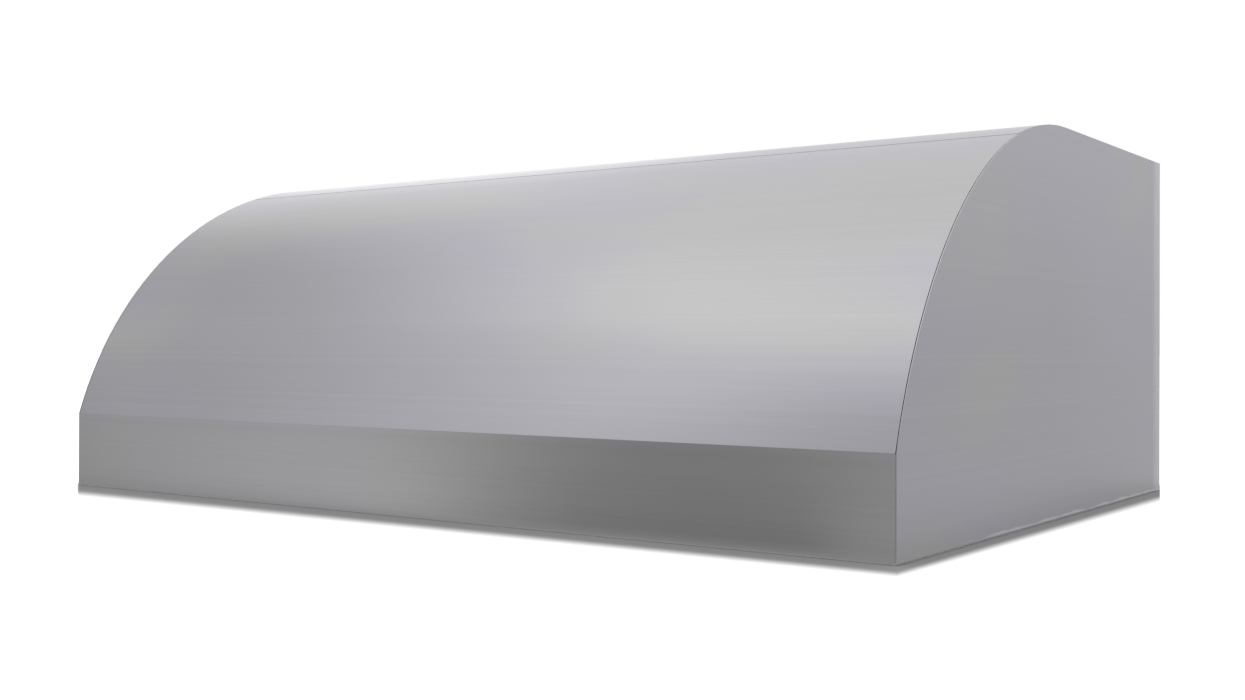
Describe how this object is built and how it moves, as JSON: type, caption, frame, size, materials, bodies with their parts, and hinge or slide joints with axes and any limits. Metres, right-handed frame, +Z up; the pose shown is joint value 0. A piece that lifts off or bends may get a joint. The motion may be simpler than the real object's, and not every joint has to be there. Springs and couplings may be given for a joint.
{
  "type": "outdoor range hood",
  "caption": "Wall-mounted outdoor canopy range hood in brushed stainless steel: a curved front over a plain vertical band, flat ends, baffle filters, lamps and blower inside.",
  "frame": {"origin": "centre of the wall screw pattern, on the back face that meets the wall", "axes": "+X along the wall to the right seen from the front, +Y into the wall (the front faces -Y), +Z up"},
  "size_m": [1.2192, 0.9144, 0.4792],
  "materials": {
    "stainless": "fine horizontal brushed grain",
    "stainless_inner": "mill finish stainless steel",
    "stainless_wire": "satin stainless steel",
    "galvanised": "zinc-coated sheet",
    "shaft_steel": "ground steel",
    "motor_black": "satin black paint",
    "capacitor_can": "drawn aluminium",
    "rubber": "matt black",
    "switch_plastic": "moulded plastic",
    "lens_glass": "clear pressed glass",
    "bulb": "white opal"
  },
  "bodies": {
    "hood": {"front_panel": "stainless", "top_panel": "stainless", "side_panel_left": "stainless", "side_panel_right": "stainless", "lamp_panel": "stainless_inner", "capture_liner": "stainless_inner", "front_filter_rail": "stainless_inner", "rear_filter_rail": "stainless_inner", "side_rail_left": "stainless_inner", "side_rail_right": "stainless_inner", "seam_strip": "stainless_inner", "duct_collar": "stainless_inner", "filter_rod": "stainless_wire", "lamp_trims": "stainless_wire", "pan_head_screws": "stainless_wire", "back_panel": "galvanised", "wall_rail_upper": "galvanised", "wall_rail_lower": "galvanised", "blower_housing_left": "galvanised", "blower_housing_right": "galvanised", "inlet_ring_left": "galvanised", "inlet_ring_right": "galvanised", "outlet_box": "galvanised", "junction_box": "galvanised", "junction_cover": "galvanised", "control_box": "galvanised", "lamp_cans": "galvanised", "wiring_conduit": "galvanised", "motor_bearings": "shaft_steel", "damper_rod": "shaft_steel", "motor": "motor_black", "motor_capacitor": "capacitor_can", "motor_mounts": "rubber", "damper_gasket": "rubber", "fan_switch": "switch_plastic", "light_dimmer": "switch_plastic", "lamp_lenses": "lens_glass", "lamp_bulbs": "bulb"},
    "grease_tray": {"grease_tray": "stainless_inner"},
    "rotor": {"motor_shaft": "shaft_steel", "impeller_left": "galvanised", "impeller_right": "galvanised"},
    "fan_knob": {"fan_knob": "stainless_wire", "fan_knob_shaft": "shaft_steel"},
    "light_knob": {"light_knob": "stainless_wire", "light_knob_shaft": "shaft_steel"},
    "damper_flap_left": {"damper_flap_left": "stainless_inner"},
    "damper_flap_right": {"damper_flap_right": "stainless_inner"},
    "filter_1": {"filter_frame_1": "stainless_inner", "filter_baffles_1": "stainless_inner", "filter_handle_1": "stainless_wire"},
    "filter_latch_1": {"filter_latch_1": "stainless_wire"},
    "filter_2": {"filter_frame_2": "stainless_inner", "filter_baffles_2": "stainless_inner", "filter_handle_2": "stainless_wire"},
    "filter_latch_2": {"filter_latch_2": "stainless_wire"},
    "filter_3": {"filter_frame_3": "stainless_inner", "filter_baffles_3": "stainless_inner", "filter_handle_3": "stainless_wire"},
    "filter_latch_3": {"filter_latch_3": "stainless_wire"}
  },
  "joints": [
    {"name": "grease_tray_lift", "type": "slide", "parent": "hood", "child": "grease_tray", "axis": [0, 0, 1], "range_m": [0, 0.01]},
    {"name": "filter_1_swing", "type": "hinge", "parent": "hood", "child": "filter_1", "pos_m": [-0.394, -0.5424, -0.03185], "axis": [-1, 0, 0], "range_deg": [0, 70]},
    {"name": "filter_2_swing", "type": "hinge", "parent": "hood", "child": "filter_2", "pos_m": [0, -0.5424, -0.03185], "axis": [-1, 0, 0], "range_deg": [0, 70]},
    {"name": "filter_3_swing", "type": "hinge", "parent": "hood", "child": "filter_3", "pos_m": [0.394, -0.5424, -0.03185], "axis": [-1, 0, 0], "range_deg": [0, 70]},
    {"name": "filter_latch_1_slide", "type": "slide", "parent": "filter_1", "child": "filter_latch_1", "axis": [0, -0.9397, 0.342], "range_m": [0, 0.008], "stiffness_N_per_m": 200, "springref_m": -0.01},
    {"name": "filter_latch_2_slide", "type": "slide", "parent": "filter_2", "child": "filter_latch_2", "axis": [0, -0.9397, 0.342], "range_m": [0, 0.008], "stiffness_N_per_m": 200, "springref_m": -0.01},
    {"name": "filter_latch_3_slide", "type": "slide", "parent": "filter_3", "child": "filter_latch_3", "axis": [0, -0.9397, 0.342], "range_m": [0, 0.008], "stiffness_N_per_m": 200, "springref_m": -0.01},
    {"name": "impeller_spin", "type": "hinge", "parent": "hood", "child": "rotor", "pos_m": [0, -0.165, 0.031], "axis": [1, 0, 0], "continuous": true},
    {"name": "fan_knob_turn", "type": "hinge", "parent": "hood", "child": "fan_knob", "pos_m": [-0.055, -0.8154, -0.255], "axis": [0, 0, 1], "range_deg": [0, 270]},
    {"name": "light_knob_turn", "type": "hinge", "parent": "hood", "child": "light_knob", "pos_m": [0.055, -0.8154, -0.255], "axis": [0, 0, 1], "range_deg": [0, 300]},
    {"name": "damper_left_swing", "type": "hinge", "parent": "hood", "child": "damper_flap_left", "pos_m": [0, -0.1524, 0.182], "axis": [0, 1, 0], "range_deg": [0, 75]},
    {"name": "damper_right_swing", "type": "hinge", "parent": "hood", "child": "damper_flap_right", "pos_m": [0, -0.1524, 0.182], "axis": [0, -1, 0], "range_deg": [0, 75]}
  ]
}
